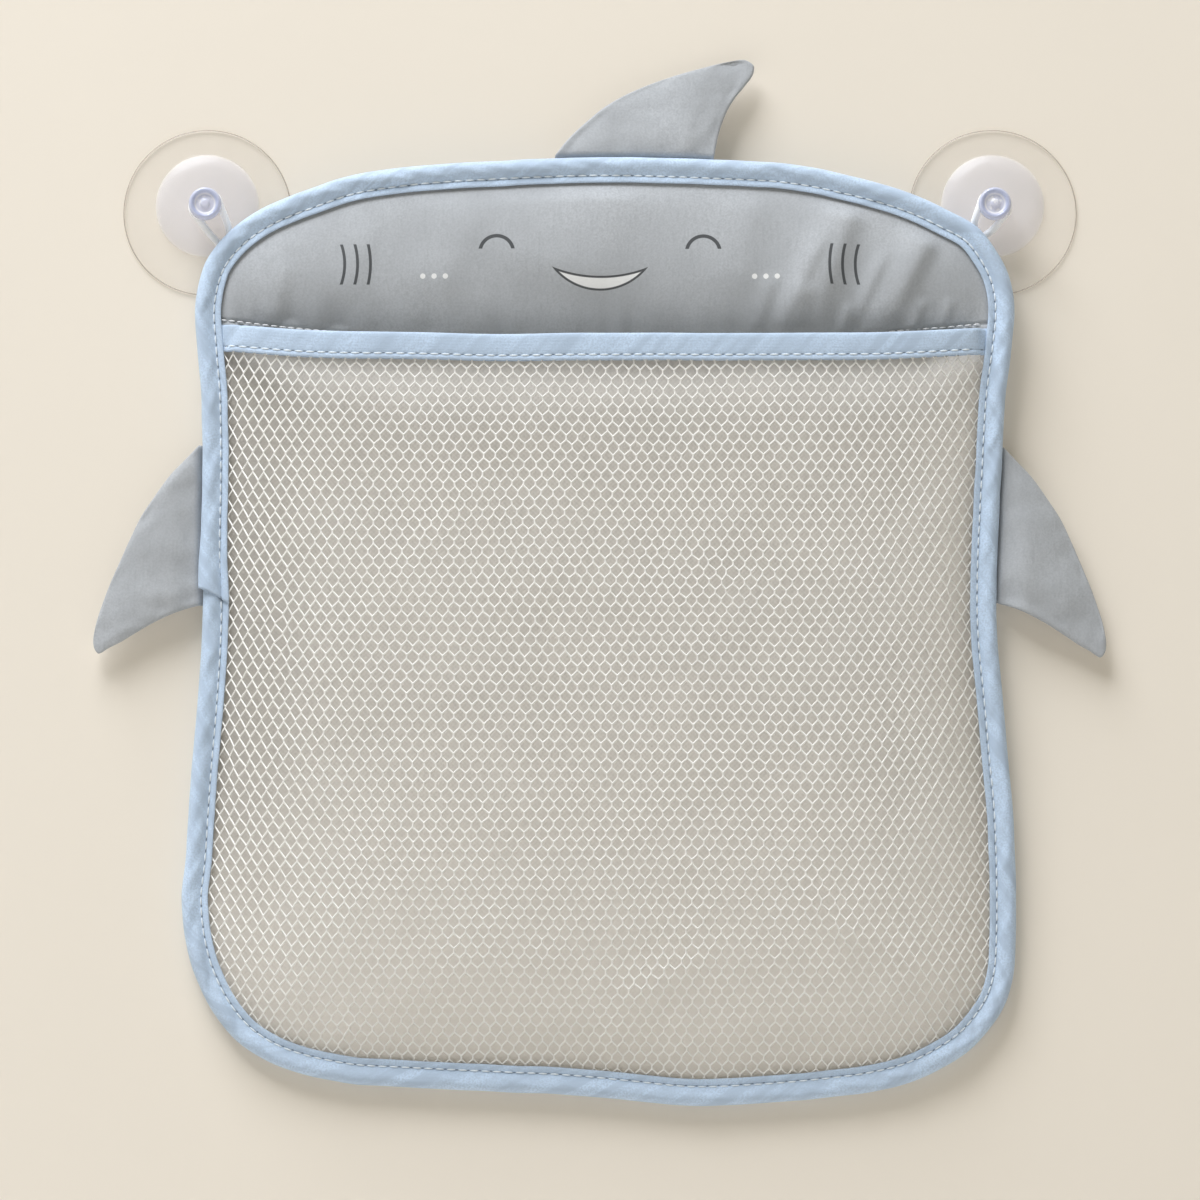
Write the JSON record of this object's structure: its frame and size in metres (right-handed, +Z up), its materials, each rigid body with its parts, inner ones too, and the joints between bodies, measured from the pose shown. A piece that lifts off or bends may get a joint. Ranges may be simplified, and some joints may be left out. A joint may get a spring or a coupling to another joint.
{
  "type": "bath toy organizer",
  "caption": "Wall-hung net pocket for bath toys in a wire-stiffened fabric rim shaped as a friendly sea animal with fins, hung by elastic loops on two clear suction cups.",
  "frame": {"origin": "on the wall plane, midway between the axes of the two suction cups", "axes": "+Z up, +X to the right as seen from the front, +Y into the wall; the front looks along -Y"},
  "size_m": [0.3781, 0.0301, 0.3907],
  "materials": {
    "cup_vinyl": "clear soft vinyl, glossy",
    "elastic_cord": "round white elastic cord, braided cover",
    "binding_tape": "light blue polyester binding, matte, fine plain weave",
    "head_cloth": "grey polyester, fine plain weave, soft sheen",
    "fin_cloth": "grey polyester, fine plain weave, soft sheen",
    "back_cloth": "warm greige polyester, matte",
    "net_yarn": "off-white knitted polyester net",
    "spring_wire": "bright drawn spring wire",
    "ferrule_metal": "crimped steel sleeve",
    "batting": "white polyester batting"
  },
  "bodies": {
    "cups": {"left_cup": "cup_vinyl", "right_cup": "cup_vinyl"},
    "loops": {"left_loop": "elastic_cord", "right_loop": "elastic_cord"},
    "bag": {"rim_binding": "binding_tape", "rim_wire": "spring_wire", "wire_ferrule": "ferrule_metal", "back_panel": "back_cloth", "head_panel": "head_cloth", "net_pocket": "net_yarn", "mouth_band": "binding_tape", "dorsal_fin_tab": "fin_cloth", "left_fin_tab": "fin_cloth", "right_fin_tab": "fin_cloth"},
    "dorsal_flap": {"dorsal_fin": "fin_cloth", "dorsal_fin_batting": "batting"},
    "left_flap": {"left_fin": "fin_cloth", "left_fin_batting": "batting"},
    "right_flap": {"right_fin": "fin_cloth", "right_fin_batting": "batting"}
  },
  "joints": [
    {"name": "bag_off", "type": "slide", "parent": "cups", "child": "loops", "axis": [0, -1, 0], "range_m": [0, 0.06], "deforming": ["left_loop", "right_loop"]},
    {"name": "bag_swing", "type": "hinge", "parent": "loops", "child": "bag", "pos_m": [0, -0.0105, 0], "axis": [-1, 0, 0], "range_deg": [0, 11]},
    {"name": "dorsal_fin_flap", "type": "hinge", "parent": "bag", "child": "dorsal_flap", "pos_m": [-0.01683, -0.00834, 0.01933], "axis": [0.9999, 0.0003, -0.013], "range_deg": [-15, 60], "stiffness_Nm_per_rad": 0.01},
    {"name": "left_fin_flap", "type": "hinge", "parent": "bag", "child": "left_flap", "pos_m": [-0.14902, -0.00409, -0.14749], "axis": [-0.0068, -0.0255, 0.9997], "range_deg": [-3, 60], "stiffness_Nm_per_rad": 0.01},
    {"name": "right_fin_flap", "type": "hinge", "parent": "bag", "child": "right_flap", "pos_m": [0.15052, -0.00562, -0.08753], "axis": [-0.0442, 0.0255, -0.9987], "range_deg": [-3, 60], "stiffness_Nm_per_rad": 0.01}
  ]
}
